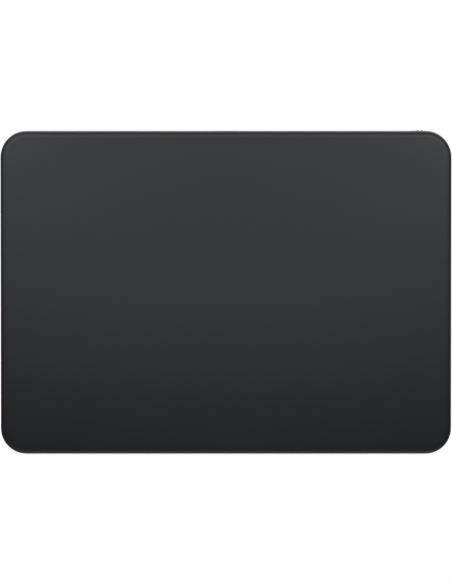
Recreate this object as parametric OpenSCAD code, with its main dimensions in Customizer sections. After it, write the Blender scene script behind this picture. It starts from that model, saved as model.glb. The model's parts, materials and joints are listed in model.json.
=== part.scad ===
// Wireless glass touch pad with force sensing, a haptic engine, a charging port and a power switch.
// The front edge faces -Y, the rear edge with the port faces +Y, and the feet stand on Z = 0.

/* [Case] */
// Width of the case, left to right
case_w = 160; // [156:0.5:180]
// Depth of the case, front to rear, without the switch ridges
case_d = 114.9; // [112:0.1:130]
// Height of the touch surface above the desk at the front edge
front_h = 4.9; // [4.8:0.1:6]
// Height of the touch surface above the desk at the rear edge
rear_h = 10.9; // [10.6:0.1:12.5]
// Radius of the case's corners, seen from above
corner_r = 9.1; // [8:0.1:11]
// Radius that rounds the lower edge of the case
edge_r = 1.6; // [0.8:0.1:2]
// Thickness of the case walls
wall_t = 1.8; // [1.6:0.1:2.2]
// Width of the rim round the bottom cover
rim_w = 2.4; // [2.2:0.1:3]
// How far the ledge reaches in from the wall
ledge_w = 3.2; // [2.8:0.1:4]
// Thickness of the ledge above the bottom cover
ledge_t = 0.7; // [0.6:0.05:0.8]
// Thickness of the bottom cover
cover_t = 1.2; // [1.1:0.05:1.3]
// Gap round the bottom cover
cover_gap = 0.12; // [0.05:0.01:0.2]
// Thickness of the adhesive seal between cover and ledge
seal_t = 0.15; // [0.1:0.05:0.2]

/* [Feet] */
// How far the feet stand below the cover
foot_h = 0.6; // [0.4:0.05:0.8]
// Radius of each foot
foot_r = 5; // [4:0.1:6]
// Depth of the recess that holds each foot
foot_recess = 0.4; // [0.3:0.05:0.5]
// Gap round each foot in its recess
foot_gap = 0.05; // [0.02:0.01:0.1]
// Width of the bevel round each foot's lower edge
foot_bevel = 0.2; // [0.1:0.05:0.3]
// Distance of each foot's centre from the two nearest case edges
foot_inset = 9.5; // [8.6:0.1:10.5]

/* [Touch plate] */
// Thickness of the touch glass
glass_t = 1.0; // [0.8:0.05:1.1]
// Gap from the case outline to the glass edge
glass_inset = 0.1; // [0.05:0.05:0.3]
// Radius that rounds the upper edge of the glass
glass_edge_r = 0.6; // [0.2:0.05:0.7]
// Thickness of the film that bonds the glass to the sensor board
adhesive_t = 0.1; // [0.05:0.05:0.2]
// Thickness of the touch sensor board
sensor_t = 0.5; // [0.4:0.05:0.6]
// Gap from the case wall to the sensor board
sensor_gap = 0.8; // [0.5:0.1:1.5]
// Thickness of the stiffener plate
stiffener_t = 0.3; // [0.2:0.05:0.4]
// Distance of the stiffener from the side edges of the case
stiffener_inset_x = 14; // [13:0.5:16]
// Distance of the stiffener from the front and rear edges of the case
stiffener_inset_y = 9.5; // [8:0.5:12]
// Thickness of the dust gasket, which is also the gap under the glass
gasket_t = 0.3; // [0.25:0.05:0.4]
// Width of the dust gasket
gasket_w = 1.0; // [0.6:0.1:1.2]
// Distance of the dust gasket from the case outline
gasket_inset = 0.4; // [0.3:0.05:0.6]

/* [Force sensors] */
// Thickness of each flexure
flexure_t = 0.4; // [0.3:0.05:0.45]
// Width of each flexure at its clamped end
flexure_w = 11; // [9:0.5:12]
// Width of each flexure's neck
neck_w = 6; // [4:0.5:7]
// Distance from the post to the centre of the gel pad
flexure_reach = 12; // [11:0.5:14]
// Radius of each gel pad
gel_r = 4; // [3:0.25:4.5]
// Thickness of each gel pad
gel_t = 0.4; // [0.3:0.05:0.5]
// Length of the post that carries each flexure
post_l = 9.7; // [9:0.1:11]
// Width of each post, front to rear
post_w = 13; // [12.5:0.5:14]
// Distance of each post's centre from the front or rear case edge
post_inset = 21.45; // [20:0.05:23]
// Spacing of the two screws of a flexure
flexure_screw_pitch = 7.2; // [6:0.1:8]
// Distance of those screws from the case wall
flexure_screw_inset = 4.2; // [3:0.1:5]

/* [Haptic engine] */
// Thickness of the bracket's base plate
bracket_t = 0.4; // [0.3:0.05:0.5]
// Length of the bracket
bracket_l = 72; // [70:1:80]
// Y position of the pole faces, from the middle of the case
pole_y = -12; // [-13:0.5:-11]
// Length of the core's teeth
tooth_l = 12; // [11:0.5:14]
// Width of the core's teeth
tooth_w = 8; // [6:0.5:9]
// Spacing of the teeth
tooth_pitch = 20; // [18:0.5:21]
// Thickness of the core
core_t = 1.6; // [1.2:0.1:1.7]
// Depth of the core's back bar
back_w = 4; // [3.5:0.1:4.5]
// Length of the core's back bar
core_l = 62; // [61:0.5:68]
// Thickness of the windings above and below a tooth
coil_t = 0.6; // [0.4:0.05:0.6]
// Thickness of the windings beside a tooth
coil_side = 2.2; // [1.5:0.1:2.4]
// Length of a winding along its tooth
coil_l = 9; // [7:0.5:10]
// Gap between winding and tooth
coil_gap = 0.05; // [0.02:0.01:0.1]
// Working gap between the pole faces and the armature bar
pole_gap = 0.5; // [0.4:0.05:0.7]
// Thickness of the armature bar
armature_t = 1.5; // [1:0.1:2]
// Height of the armature bar
armature_h = 2.4; // [2:0.1:2.5]

/* [Battery] */
// Thickness of the cell
cell_t = 3.8; // [3:0.1:3.9]
// Radius of the cell's corners
cell_r = 2; // [1:0.25:4]
// Distance of the cell's right end from the right case edge
cell_inset = 23.5; // [23:0.5:40]
// Gap between the haptic bracket and the cell
cell_front_gap = 1.0; // [0.5:0.1:6]
// Gap between the cell and the port board behind it
cell_gap = 0.9; // [0.5:0.1:2]
// Thickness of the tape under the cell
tape_t = 0.2; // [0.1:0.05:0.3]
// Width of the protection circuit at the cell's left end
circuit_w = 3.5; // [3:0.1:3.8]
// Gap between the main board and the protection circuit
circuit_gap = 3; // [1:0.5:5]
// Length of the protection circuit
circuit_l = 26; // [20:1:30]

/* [Main board] */
// Width of the main board
board_w = 21; // [20:0.5:22]
// Gap between the front left post and the main board
board_front_gap = 5.5; // [4:0.5:8]
// Gap between the main board and the rear left post
board_rear_gap = 1.5; // [1:0.5:4]
// Thickness of the circuit boards
board_t = 0.8; // [0.6:0.1:1]
// Gap from the left case wall to the main board
board_gap = 3.2; // [2:0.1:3.5]
// Height of the bosses under the main board
board_boss_h = 0.7; // [0.5:0.1:0.9]
// Radius of those bosses
board_boss_r = 2; // [1.5:0.1:2.2]
// Distance of the main board's screws from its edges
board_screw_inset = 2; // [1.6:0.1:2.4]
// Height of the chips
chip_h = 0.8; // [0.5:0.05:0.9]
// Height of the radio shield
shield_h = 1.1; // [0.9:0.05:1.3]
// Height of the connectors
connector_h = 0.9; // [0.6:0.05:1]
// Depth of the connectors
connector_w = 2.5; // [2:0.1:2.5]
// Thickness of the flat leads
lead_t = 0.15; // [0.1:0.01:0.15]
// Width of the flat leads
lead_w = 3; // [2:0.1:3]

/* [Charging port] */
// Width of the port's opening
port_w = 8.34; // [8.34:0.01:8.4]
// Height of the port's opening
port_h = 2.56; // [2.56:0.01:2.6]
// Wall of the port's shell
port_wall = 0.3; // [0.2:0.02:0.35]
// Length of the port's shell
port_l = 7.4; // [6.5:0.1:8]
// How far the shell's mouth lies inside the rear face
port_recess = 0.1; // [0.05:0.05:0.3]
// Gap round the shell in the case wall
port_gap = 0.13; // [0.08:0.01:0.2]
// Width of the port's tongue
tongue_w = 6.69; // [6.6:0.01:6.7]
// Thickness of the port's tongue
tongue_t = 0.7; // [0.6:0.05:0.8]
// Depth of the tongue's tip behind the mouth
tongue_recess = 0.7; // [0.5:0.1:1]
// Depth of the tongue's base
tongue_base = 1.4; // [1:0.1:2]
// Number of contacts on each face of the tongue
contact_count = 12; // [8:1:12]
// Width of the port's board
port_board_w = 20; // [19:0.5:24]
// Depth of the port's board
port_board_d = 10.5; // [10:0.1:11]
// Gap between the port's board and the rear wall
port_board_gap = 0.25; // [0.1:0.05:0.5]
// Spacing of the port board's screws
port_screw_pitch = 16; // [14:0.5:17]

/* [Power switch] */
// Distance of the knob from the right case edge, switched on
knob_inset = 11.18; // [10.5:0.01:14]
// How far the knob slides to switch off
knob_travel = 2.0; // [1.5:0.1:2.2]
// Length of the knob
knob_l = 3.6; // [3:0.1:3.8]
// Height of the knob
knob_h = 1.9; // [1.5:0.1:2.2]
// Gap round the knob in its slot
knob_gap = 0.1; // [0.05:0.01:0.15]
// Depth of the knob's face behind the rear face of the case
knob_recess = 0.05; // [0.02:0.01:0.3]
// Spacing of the two grip ridges
ridge_pitch = 1.4; // [1.2:0.02:2]
// Width of a grip ridge
ridge_w = 0.45; // [0.4:0.05:0.8]
// Height of a grip ridge, up and down
ridge_l = 1.3; // [0.9:0.1:1.4]
// How far the ridges stand out from the rear face
ridge_out = 0.4; // [0.1:0.05:0.5]
// Thickness of the flange behind the slot
flange_t = 0.6; // [0.4:0.05:0.7]
// Overlap of the flange past the slot
flange_lap = 0.25; // [0.15:0.05:0.4]
// Gap between flange and wall
flange_gap = 0.15; // [0.12:0.01:0.2]
// Thickness of the green film that shows the on state
film_t = 0.08; // [0.04:0.01:0.1]
// Width of the slider's tab
tab_w = 1.0; // [0.8:0.1:1.2]
// Depth of the switch housing
housing_d = 3.2; // [3:0.1:3.2]
// Height of the switch housing
housing_h = 2.4; // [2.2:0.1:2.8]
// Wall of the switch housing
housing_wall = 0.3; // [0.2:0.05:0.4]
// Length of the slider inside the housing
slider_l = 2.6; // [2:0.1:3]
// Gap round the slider
slider_gap = 0.1; // [0.05:0.01:0.15]
// Spacing of the switch board's screws
switch_screw_pitch = 10.6; // [10:0.1:11]

/* [Antenna] */
// Length of the antenna carrier
carrier_l = 20; // [15:0.5:22]
// Depth of the antenna carrier
carrier_d = 4.2; // [3.5:0.1:4.4]
// Height of the antenna carrier
carrier_h = 3.8; // [3:0.1:5]
// X position of the carrier's left end, from the left case edge
carrier_inset = 9.5; // [9.2:0.1:12]
// Gap between the carrier and the rear wall
carrier_gap = 0.25; // [0.1:0.05:0.5]
// Thickness of the antenna foil
foil_t = 0.1; // [0.05:0.01:0.2]
// Radius of the antenna cable
coax_r = 0.5; // [0.3:0.05:0.6]

/* [Screws] */
// Radius of the small screws' heads
head_r = 1.1; // [0.9:0.05:1.2]
// Height of the small screws' heads
head_h = 0.3; // [0.2:0.05:0.35]
// Radius of the small screws' shanks
shank_r = 0.6; // [0.5:0.05:0.65]
// Depth of the small screws' threads in what they hold
thread_l = 0.65; // [0.4:0.05:0.7]
// Radius of the cover screws' heads
cover_head_r = 1.5; // [1.3:0.05:1.8]
// Height of the cover screws' heads
cover_head_h = 0.35; // [0.25:0.05:0.4]
// Radius of the cover screws' shanks
cover_shank_r = 0.8; // [0.6:0.05:0.9]
// Depth of the cover screws' threads in their bosses
cover_thread_l = 0.9; // [0.6:0.05:1]
// Height of the bosses above the ledge's underside
boss_h = 1.2; // [1.1:0.05:1.3]
// Radius of those bosses
boss_r = 3; // [2.5:0.1:3]
// Gap between a screw and its hole
screw_gap = 0.03; // [0.01:0.01:0.05]

/* [Hidden] */
$fn = 64;
big = 3 * (case_w + case_d);

// Heights above the desk
cover_top = foot_h + cover_t;
ledge_bottom = cover_top + seal_t;
ledge_top = ledge_bottom + ledge_t;
board_bottom = cover_top + board_boss_h;
board_top = board_bottom + board_t;
port_board_top = ledge_top + board_t;
port_z = port_board_top + port_wall + port_h / 2;

// The touch surface slopes up from front to rear
slope = atan((rear_h - front_h) / case_d);
mid_h = (front_h + rear_h) / 2;
slope_d = case_d / cos(slope);
wall_cut = 4 * wall_t;

// Depths below the touch surface, square to it
sensor_top = glass_t + adhesive_t;
sensor_bottom = sensor_top + sensor_t;
stiffener_bottom = sensor_bottom + stiffener_t;
gel_bottom = stiffener_bottom + gel_t;
flexure_bottom = gel_bottom + flexure_t;

// Inside faces of the walls
inner_x = case_w / 2 - wall_t;
inner_y = case_d / 2 - wall_t;

// Corner names with the sides that they lie on
CORNERS = [
    ["front_left", -1, -1],
    ["front_right", 1, -1],
    ["rear_left", -1, 1],
    ["rear_right", 1, 1]
];
COILS = [["left", -1], ["centre", 0], ["right", 1]];

foot_x = case_w / 2 - foot_inset;
foot_y = case_d / 2 - foot_inset;
post_x = inner_x - post_l;
post_y = case_d / 2 - post_inset;
post_face = post_y - post_w / 2;
gel_x = post_x - flexure_reach;
flexure_pad_margin = 0.5;
flexure_pad_r = gel_r + flexure_pad_margin;
flexure_end_gap = 0.6;
gauge_size = [4, 3.5, 0.08];
gauge_gap = 0.4;

// Screws: the cross recess in shares of the head, and the spare depth under a screw
cross_reach = 0.6;
cross_w = 0.24;
cross_depth = 0.5;
hole_spare = 0.1;
cover_grip = ledge_bottom - foot_h - foot_recess - cover_head_h;

// Leads: where a flat lead starts to bend past a board's edge, where it lies flat again,
// and how far it lies on the board
bend_near = 1.2;
bend_far = 4;
lead_lap = 2;

// Haptic engine
back_y = pole_y + tooth_l;
rail_h = coil_t + coil_gap;
core_z = cover_top + bracket_t + rail_h;
bracket_lip_front = 2.5;
bracket_lip_rear = 3;
bracket_front = pole_y - bracket_lip_front;
bracket_rear = back_y + back_w + bracket_lip_rear;
bracket_screw_inset = [1.8, 1.5];
bracket_screw_x = bracket_l / 2 - bracket_screw_inset[0];
bracket_screw_ys = [bracket_front + bracket_screw_inset[1], bracket_rear - bracket_screw_inset[1]];
core_screw_inset = 2;
core_screw_x = core_l / 2 - core_screw_inset;
window_margin = 1.2;
armature_mid = stiffener_bottom + armature_h / 2;
armature_y = (pole_y - pole_gap - armature_mid * sin(slope)) / cos(slope);
armature_trim = 2;
armature_l = core_l - 2 * armature_trim;
haptic_lead_inset = 4.8;
haptic_lead_y = back_y - haptic_lead_inset;
coil_lead_gap = 2;

// Main board
board_x0 = -inner_x + board_gap;
board_x1 = board_x0 + board_w;
board_y0 = -post_face + board_front_gap;
board_y1 = post_face - board_rear_gap;
board_l = board_y1 - board_y0;
board_y = (board_y0 + board_y1) / 2;
board_corner_r = 1;
side_plug_inset = 1;
front_plug_inset = 3;
rear_plug_inset = 0.8;
side_plug_x = board_x1 - connector_w / 2 - side_plug_inset;
front_plug_y = board_y0 + connector_w / 2 + front_plug_inset;
rear_plug_y = board_y1 - connector_w / 2 - rear_plug_inset;
touch_lead_inset = 6;
touch_lead_x = board_x1 - touch_lead_inset;
sensor_lead_inset = 8.7;
sensor_lead_x = board_x0 + sensor_lead_inset;
port_lead_inset = 13;
port_lead_x = board_x0 + port_lead_inset;
stub_inset = 2.2;
stub_w = 2.4;
stub_lap = 0.6;
rear_stub_x = board_x1 - stub_inset;
coax_inset = 8.5;
coax_x = board_x0 + coax_inset;
shield_size = [14, 12];
shield_inset = [9, 9.6];
shield_x = board_x0 + shield_inset[0];
shield_y = board_y1 - shield_inset[1];
processor_size = 7;
processor_shift = 1;
processor_y = board_y + processor_shift;
power_chip_size = 4;
power_chip_shift = [5.5, -6];
battery_plug_w = 6;
haptic_plug_w = 5;
touch_plug_w = 6;
sensor_plug_w = 4;
port_plug_w = 5;

// Touch chips and the touch connector under the sensor board
touch_chip_size = 8;
touch_chip_pitch = 12;
touch_chip_margin = 1;
touch_socket_w = 8;
touch_socket_h = 0.72;
touch_socket_gap = 3;
touch_socket_margin = [1.5, 2.5];
touch_lead_w = 5;
touch_lead_flat = 1;
touch_lead_slack = 0.3;

// Battery
port_board_rear = inner_y - port_board_gap;
port_board_front = port_board_rear - port_board_d;
cell_x = board_x1 + circuit_gap + circuit_w;
cell_l = case_w / 2 - cell_inset - cell_x;
cell_rear = port_board_front - cell_gap;
cell_front = bracket_rear + cell_front_gap;
cell_w = cell_rear - cell_front;
cell_mid_y = (cell_front + cell_rear) / 2;
cell_z = cover_top + tape_t;
tape_l = 14;
tape_inset = 3;
battery_plug_inset = 8;
battery_lead_y = min(cell_mid_y, board_y1 - battery_plug_inset);
battery_lead_gap = 0.5;

// Port
port_mouth = case_d / 2 - port_recess;
port_screw_shift = 0.1;
port_screw_y = inner_y - ledge_w / 2 - port_screw_shift;
port_clear = port_wall + port_gap;
tongue_fit = 0.02;
contact_pitch = 0.5;
contact_size = [0.28, 3.2, 0.04];
contact_inset = 0.4;
rear_lead_inset = 1.1;
rear_lead_y = port_board_front + lead_w / 2 + rear_lead_inset;

// Power switch
knob_x = case_w / 2 - knob_inset;
slot_x = knob_x - knob_travel / 2;
slot_l = knob_l + knob_travel + 2 * knob_gap;
slot_h = knob_h + 2 * knob_gap;
flange_l = slot_l + knob_travel + 2 * flange_lap;
flange_h = slot_h + 2 * flange_lap;
pocket_l = flange_l + knob_travel + 2 * flange_lap;
pocket_h = flange_h + 2 * flange_lap;
pocket_d = 4 * flange_t;
flange_front = inner_y - flange_gap;
flange_back = flange_front - flange_t;
housing_gap = 0.5;
housing_front = flange_back - housing_gap;
housing_back = housing_front - housing_d;
cavity_l = slider_l + knob_travel + 2 * slider_gap;
housing_l = cavity_l + 2 * housing_wall;
switch_z = port_z;
switch_board_top = switch_z - housing_h / 2;
switch_board_bottom = switch_board_top - board_t;
switch_board_step = 0.1;
switch_board_front = housing_back - switch_board_step;
switch_board_rear = housing_front - switch_board_step;
switch_board_margin = 1.5;
switch_board_l = switch_screw_pitch + 2 * switch_board_margin;
switch_screw_shift = 0.65;
switch_screw_y = inner_y - ledge_w / 2 - switch_screw_shift;
switch_pad_r = 1.4;
switch_lead_gap = 0.3;
switch_lead_x = slot_x - housing_l / 2 - lead_w / 2 - switch_lead_gap;
switch_lead_lap = 1;

// Antenna
carrier_x0 = -case_w / 2 + carrier_inset;
carrier_rear = inner_y - carrier_gap;
carrier_top = ledge_top + carrier_h;

// Force sensor lead
run_gap = 7.5;
run_y = board_y0 - run_gap;
run_x1 = gel_x + flexure_pad_r;
tail_t = 0.15;
left_tail_shift = 2;

// Shared shapes

// Rectangle with round corners, centred
module rounded_rect(w, d, r) {
    square([w - 2 * r, d], center = true);
    square([w, d - 2 * r], center = true);
    for (x = [-1, 1], y = [-1, 1])
        translate([x * (w / 2 - r), y * (d / 2 - r)])
            circle(r);
}

// Slot shape with round ends, centred
module stadium(w, h) {
    square([w - h, h], center = true);
    for (x = [-1, 1])
        translate([x * (w - h) / 2, 0])
            circle(h / 2);
}

// The child's profile, drawn inwards from the outline, run round a rounded rectangle
module swept_frame(w, d, r) {
    for (k = [0:3]) {
        out = (k % 2 == 0 ? w : d) / 2;
        run = (k % 2 == 0 ? d : w) - 2 * r;
        rotate([0, 0, 90 * k]) {
            translate([out, run / 2, 0])
                rotate([90, 0, 0])
                    linear_extrude(run)
                        mirror([1, 0])
                            children();
            translate([out - r, run / 2, 0])
                rotate_extrude(angle = 90)
                    translate([r, 0])
                        mirror([1, 0])
                            children();
        }
    }
}

// Puts its children in the plane of the touch surface, with that surface at Z = 0
module on_slope() {
    translate([0, 0, mid_h])
        rotate([slope, 0, 0])
            children();
}

// A sheet parallel to the touch surface, from one depth below it to another
module layer(from, to) {
    on_slope()
        translate([0, 0, -to])
            linear_extrude(to - from)
                children();
}

// Everything above a plane parallel to the touch surface
module above_slope(depth) {
    on_slope()
        translate([-big / 2, -big / 2, -depth])
            cube(big);
}

// An outline in X and Z, extruded along Y about y
module across_y(y, d) {
    translate([0, y + d / 2, 0])
        rotate([90, 0, 0])
            linear_extrude(d)
                children();
}

// An outline in Y and Z, extruded along X about x
module across_x(x, w) {
    translate([x - w / 2, 0, 0])
        rotate([90, 0, 90])
            linear_extrude(w)
                children();
}

// A box given by its lowest corner and its highest corner
module box(low, high) {
    translate(low)
        cube(high - low);
}

// A flat strip of even height that follows a path
module strip(path, t) {
    back = [for (i = [len(path) - 1:-1:0]) path[i] + [0, t]];
    polygon(concat(path, back));
}

// A pan-head screw with a cross recess, its seat at Z = 0 and its shank below
module screw(r, h, shank, l) {
    difference() {
        union() {
            cylinder(r = r, h = h);
            translate([0, 0, -l])
                cylinder(r = shank, h = l);
        }
        for (a = [0, 90])
            rotate([0, 0, a])
                translate([-r * cross_reach, -r * cross_w / 2, h * cross_depth])
                    cube([2 * r * cross_reach, r * cross_w, h]);
    }
}

module small_screw(through) {
    screw(head_r, head_h, shank_r, through + thread_l);
}

// The hole for a small screw, from its seat down
module small_hole(through) {
    depth = through + thread_l + hole_spare;
    translate([0, 0, -depth])
        cylinder(r = shank_r + screw_gap, h = depth);
}

// Places

module at_flexure_screws() {
    on_slope()
        for (c = CORNERS, k = [-1, 1])
            translate([
                c[1] * (inner_x - flexure_screw_inset),
                c[2] * post_y + k * flexure_screw_pitch / 2,
                -gel_bottom
            ])
                children();
}

module at_cover_screws() {
    for (c = CORNERS)
        translate([c[1] * foot_x, c[2] * foot_y, foot_h + foot_recess + cover_head_h])
            rotate([180, 0, 0])
                children();
}

module at_board_screws() {
    for (x = [board_x0 + board_screw_inset, board_x1 - board_screw_inset])
        for (y = [board_y0 + board_screw_inset, board_y1 - board_screw_inset])
            translate([x, y, board_top])
                children();
}

module at_bracket_screws() {
    for (x = [-1, 1], y = bracket_screw_ys)
        translate([x * bracket_screw_x, y, cover_top + bracket_t])
            children();
}

module at_core_screws() {
    for (x = [-1, 1])
        translate([x * core_screw_x, back_y + back_w / 2, core_z + core_t])
            children();
}

module at_port_screws() {
    for (x = [-1, 1])
        translate([x * port_screw_pitch / 2, port_screw_y, port_board_top])
            children();
}

module at_switch_screws() {
    for (x = [-1, 1])
        translate([slot_x + x * switch_screw_pitch / 2, switch_screw_y, switch_board_top])
            children();
}

// Case

// Wall, rim and ledge in section, from the outer face inwards
module wall_profile() {
    difference() {
        union() {
            translate([0, foot_h])
                square([rim_w, ledge_top - foot_h]);
            translate([0, ledge_bottom])
                square([wall_t + ledge_w, ledge_t]);
            translate([0, ledge_bottom])
                square([wall_t, rear_h]);
        }
        difference() {
            translate([-edge_r, foot_h - edge_r])
                square(2 * edge_r);
            translate([edge_r, foot_h + edge_r])
                circle(edge_r);
        }
    }
}

// Posts that carry the flexures, cut off in the flexures' plane
module posts() {
    difference() {
        for (c = CORNERS) {
            reach = post_l + wall_t / 2;
            translate([
                c[1] * (post_x + reach / 2) - reach / 2,
                c[2] * post_y - post_w / 2,
                ledge_bottom
            ])
                cube([reach, post_w, rear_h]);
        }
        above_slope(flexure_bottom);
    }
}

// Bosses for the cover screws, with webs to the side walls
module bosses() {
    for (c = CORNERS) {
        reach = inner_x - foot_x + wall_t / 3;
        translate([c[1] * foot_x, c[2] * foot_y, ledge_bottom])
            cylinder(r = boss_r, h = boss_h);
        translate([c[1] * (foot_x + reach / 2) - reach / 2, c[2] * foot_y - boss_r / 2, ledge_bottom])
            cube([reach, boss_r, boss_h]);
    }
}

module switch_pads() {
    for (x = [-1, 1])
        translate([slot_x + x * switch_screw_pitch / 2, switch_screw_y, ledge_bottom])
            cylinder(r = switch_pad_r, h = switch_board_bottom - ledge_bottom);
}

module enclosure() {
    color("#2b2c2f")
        difference() {
            union() {
                difference() {
                    swept_frame(case_w, case_d, corner_r)
                        wall_profile();
                    above_slope(glass_t + gasket_t);
                }
                posts();
                bosses();
                switch_pads();
            }
            translate([0, 0, port_z])
                across_y(case_d / 2, wall_cut)
                    stadium(port_w + 2 * port_clear, port_h + 2 * port_clear);
            translate([slot_x, 0, switch_z])
                across_y(case_d / 2, wall_cut)
                    stadium(slot_l, slot_h);
            // Pocket that gives the knob's flange a flat wall near the corner
            translate([slot_x, 0, switch_z])
                across_y(inner_y - pocket_d / 2, pocket_d)
                    square([pocket_l, pocket_h], center = true);
            at_flexure_screws()
                small_hole(flexure_t);
            at_port_screws()
                small_hole(board_t);
            at_switch_screws()
                small_hole(board_t);
            at_cover_screws()
                translate([0, 0, -cover_grip - cover_thread_l - hole_spare])
                    cylinder(r = cover_shank_r + screw_gap, h = cover_thread_l + hole_spare);
        }
}

module cover_outline(inset) {
    rounded_rect(
        case_w - 2 * (rim_w + inset),
        case_d - 2 * (rim_w + inset),
        corner_r - rim_w - inset
    );
}

module bottom_cover() {
    color("#38393c")
        difference() {
            union() {
                translate([0, 0, foot_h])
                    linear_extrude(cover_t)
                        cover_outline(cover_gap);
                at_board_screws()
                    translate([0, 0, cover_top - board_top])
                        cylinder(r = board_boss_r, h = board_boss_h);
            }
            for (c = CORNERS)
                translate([c[1] * foot_x, c[2] * foot_y, 0])
                    cylinder(r = foot_r + foot_gap, h = foot_h + foot_recess);
            at_cover_screws() {
                cylinder(r = cover_head_r + screw_gap, h = cover_head_h + foot_recess);
                translate([0, 0, -cover_t])
                    cylinder(r = cover_shank_r + screw_gap, h = cover_t);
            }
            at_board_screws()
                small_hole(board_t);
            at_bracket_screws()
                small_hole(bracket_t);
        }
}

module cover_seal() {
    color("#1c1c1e")
        translate([0, 0, cover_top])
            linear_extrude(seal_t)
                difference() {
                    cover_outline(cover_gap);
                    rounded_rect(
                        case_w - 2 * (wall_t + ledge_w),
                        case_d - 2 * (wall_t + ledge_w),
                        corner_r - wall_t - ledge_w
                    );
                }
}

module cover_screws() {
    color("#8f9296")
        at_cover_screws()
            screw(cover_head_r, cover_head_h, cover_shank_r, cover_grip + cover_thread_l);
}

module foot(c) {
    top = foot_h + foot_recess;
    color("#1d1d1f")
        translate([c[1] * foot_x, c[2] * foot_y, 0])
            rotate_extrude()
                polygon([[0, 0], [foot_r - foot_bevel, 0], [foot_r, foot_bevel], [foot_r, top], [0, top]]);
}

// Touch plate

module dust_gasket() {
    inner = gasket_inset + gasket_w;
    color("#161618")
        layer(glass_t, glass_t + gasket_t)
            difference() {
                rounded_rect(case_w - 2 * gasket_inset, slope_d - 2 * gasket_inset, corner_r - gasket_inset);
                rounded_rect(case_w - 2 * inner, slope_d - 2 * inner, corner_r - inner);
            }
}

// Edge of the glass in section, from the outer face inwards
module glass_profile() {
    difference() {
        translate([0, -glass_t])
            square([2 * glass_edge_r, glass_t]);
        difference() {
            translate([-glass_edge_r, -glass_edge_r])
                square(2 * glass_edge_r);
            translate([glass_edge_r, -glass_edge_r])
                circle(glass_edge_r);
        }
    }
}

module touch_glass() {
    w = case_w - 2 * glass_inset;
    d = slope_d - 2 * glass_inset;
    r = corner_r - glass_inset;
    border = 2 * glass_edge_r;
    color("#343537") {
        on_slope()
            swept_frame(w, d, r)
                glass_profile();
        layer(0, glass_t)
            rounded_rect(w - 2 * border, d - 2 * border, r - border);
    }
}

module sensor_outline() {
    gap = wall_t + sensor_gap;
    rounded_rect(case_w - 2 * gap, slope_d - 2 * gap, corner_r - gap);
}

module glass_adhesive() {
    color("#6c6f73")
        layer(glass_t, sensor_top)
            sensor_outline();
}

module sensor_board() {
    color("#1f3f2c")
        layer(sensor_top, sensor_bottom)
            sensor_outline();
}

module touch_chip_places() {
    for (x = [-1, 1])
        translate([x * touch_chip_pitch / 2, run_y])
            children();
}

module touch_socket_place() {
    translate([touch_lead_x, board_y0 - touch_socket_gap])
        children();
}

module stiffener_plate() {
    color("#b9bcc0")
        layer(sensor_bottom, stiffener_bottom)
            difference() {
                rounded_rect(case_w - 2 * stiffener_inset_x, slope_d - 2 * stiffener_inset_y, corner_r / 2);
                translate([0, (armature_y + bracket_rear) / 2 + window_margin / 2])
                    square(
                        [core_l + 2 * window_margin, bracket_rear - armature_y - window_margin],
                        center = true
                    );
                touch_chip_places()
                    square(touch_chip_size + 2 * touch_chip_margin, center = true);
                touch_socket_place()
                    square([touch_socket_w, connector_w] + 2 * touch_socket_margin, center = true);
            }
}

module armature_bar() {
    color("#85888c")
        on_slope()
            translate([-armature_l / 2, armature_y - armature_t, -stiffener_bottom - armature_h])
                cube([armature_l, armature_t, armature_h]);
}

module touch_chips() {
    color("#151517")
        layer(sensor_bottom, sensor_bottom + chip_h)
            touch_chip_places()
                square(touch_chip_size, center = true);
}

module sensor_connector() {
    color("#d8d2c0")
        layer(sensor_bottom, sensor_bottom + touch_socket_h)
            touch_socket_place()
                square([touch_socket_w, connector_w], center = true);
}

module gel_pads() {
    color("#9aa4ad")
        layer(stiffener_bottom, gel_bottom)
            for (c = CORNERS)
                translate([c[1] * gel_x, c[2] * post_y])
                    circle(gel_r);
}

// Force sensors

module flexure(c) {
    clamp_l = post_l - flexure_end_gap;
    color("#c3c6ca")
        difference() {
            layer(gel_bottom, flexure_bottom)
                translate([0, c[2] * post_y])
                    mirror([c[1] < 0 ? 1 : 0, 0]) {
                        translate([post_x, -flexure_w / 2])
                            square([clamp_l, flexure_w]);
                        translate([gel_x, -neck_w / 2])
                            square([flexure_reach + clamp_l / 2, neck_w]);
                        translate([gel_x, 0])
                            circle(flexure_pad_r);
                    }
            at_flexure_screws()
                small_hole(flexure_t);
        }
}

module strain_gauges() {
    color("#c98b3a")
        layer(gel_bottom - gauge_size[2], gel_bottom)
            for (c = CORNERS)
                translate([c[1] * (post_x - gauge_size[0] / 2 - gauge_gap), c[2] * post_y])
                    square([gauge_size[0], gauge_size[1]], center = true);
}

module flexure_screws() {
    color("#8f9296")
        at_flexure_screws()
            small_screw(flexure_t);
}

// Thin tail from the lead on the floor up to a flexure
module gauge_tail(x, y) {
    box(
        [x - tail_t / 2, y - lead_w / 2, cover_top + lead_t],
        [x + tail_t / 2, y + lead_w / 2, rear_h]
    );
}

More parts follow.
